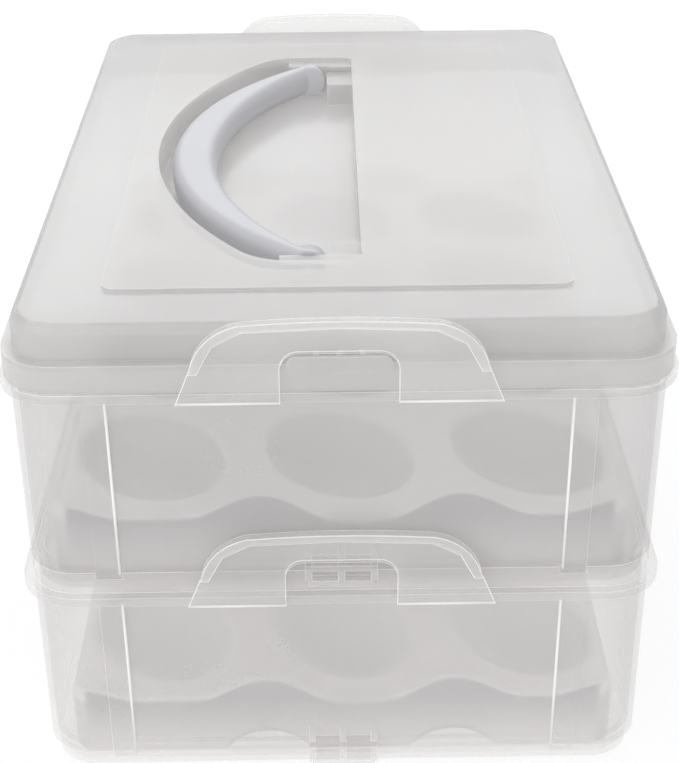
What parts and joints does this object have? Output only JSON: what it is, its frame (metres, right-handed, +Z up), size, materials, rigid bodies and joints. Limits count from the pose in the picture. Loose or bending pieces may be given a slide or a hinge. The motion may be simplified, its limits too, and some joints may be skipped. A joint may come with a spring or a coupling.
{
  "type": "egg carrier",
  "caption": "Two-layer rectangular egg carrier of clear plastic with cupped trays, end latches and a lid with a fold-down bail handle in a recess.",
  "frame": {"origin": "middle of the underside of the lower container, on the plane it stands on", "axes": "+X across the carrier, +Y along its length towards the rear latches, +Z up"},
  "size_m": [0.2, 0.2948, 0.168],
  "materials": {
    "container_plastic": "milky translucent moulded polypropylene, smooth",
    "lid_plastic": "milky translucent moulded polypropylene, smooth",
    "latch_plastic": "milky translucent moulded polypropylene, smooth",
    "tray_plastic": "milky white moulded polypropylene, satin",
    "handle_plastic": "opaque white moulded plastic, satin"
  },
  "bodies": {
    "carrier": {"lower_container": "container_plastic", "upper_container": "container_plastic", "lid": "lid_plastic", "lower_egg_tray": "tray_plastic", "upper_egg_tray": "tray_plastic"},
    "handle_bail": {"handle": "handle_plastic"},
    "lower_latch_front_flap": {"lower_latch_front": "latch_plastic"},
    "lower_latch_rear_flap": {"lower_latch_rear": "latch_plastic"},
    "upper_latch_front_flap": {"upper_latch_front": "latch_plastic"},
    "upper_latch_rear_flap": {"upper_latch_rear": "latch_plastic"}
  },
  "joints": [
    {"name": "handle_hinge", "type": "hinge", "parent": "carrier", "child": "handle_bail", "pos_m": [-0.0088, 0, 0.158], "axis": [0, 1, 0], "range_deg": [0, 90]},
    {"name": "lower_latch_front_hinge", "type": "hinge", "parent": "carrier", "child": "lower_latch_front_flap", "pos_m": [0, -0.14505, 0.06975], "axis": [1, 0, 0], "range_deg": [0, 170]},
    {"name": "lower_latch_rear_hinge", "type": "hinge", "parent": "carrier", "child": "lower_latch_rear_flap", "pos_m": [0, 0.14505, 0.06975], "axis": [-1, 0, 0], "range_deg": [0, 170]},
    {"name": "upper_latch_front_hinge", "type": "hinge", "parent": "carrier", "child": "upper_latch_front_flap", "pos_m": [0, -0.14505, 0.14125], "axis": [1, 0, 0], "range_deg": [0, 170]},
    {"name": "upper_latch_rear_hinge", "type": "hinge", "parent": "carrier", "child": "upper_latch_rear_flap", "pos_m": [0, 0.14505, 0.14125], "axis": [-1, 0, 0], "range_deg": [0, 170]}
  ]
}
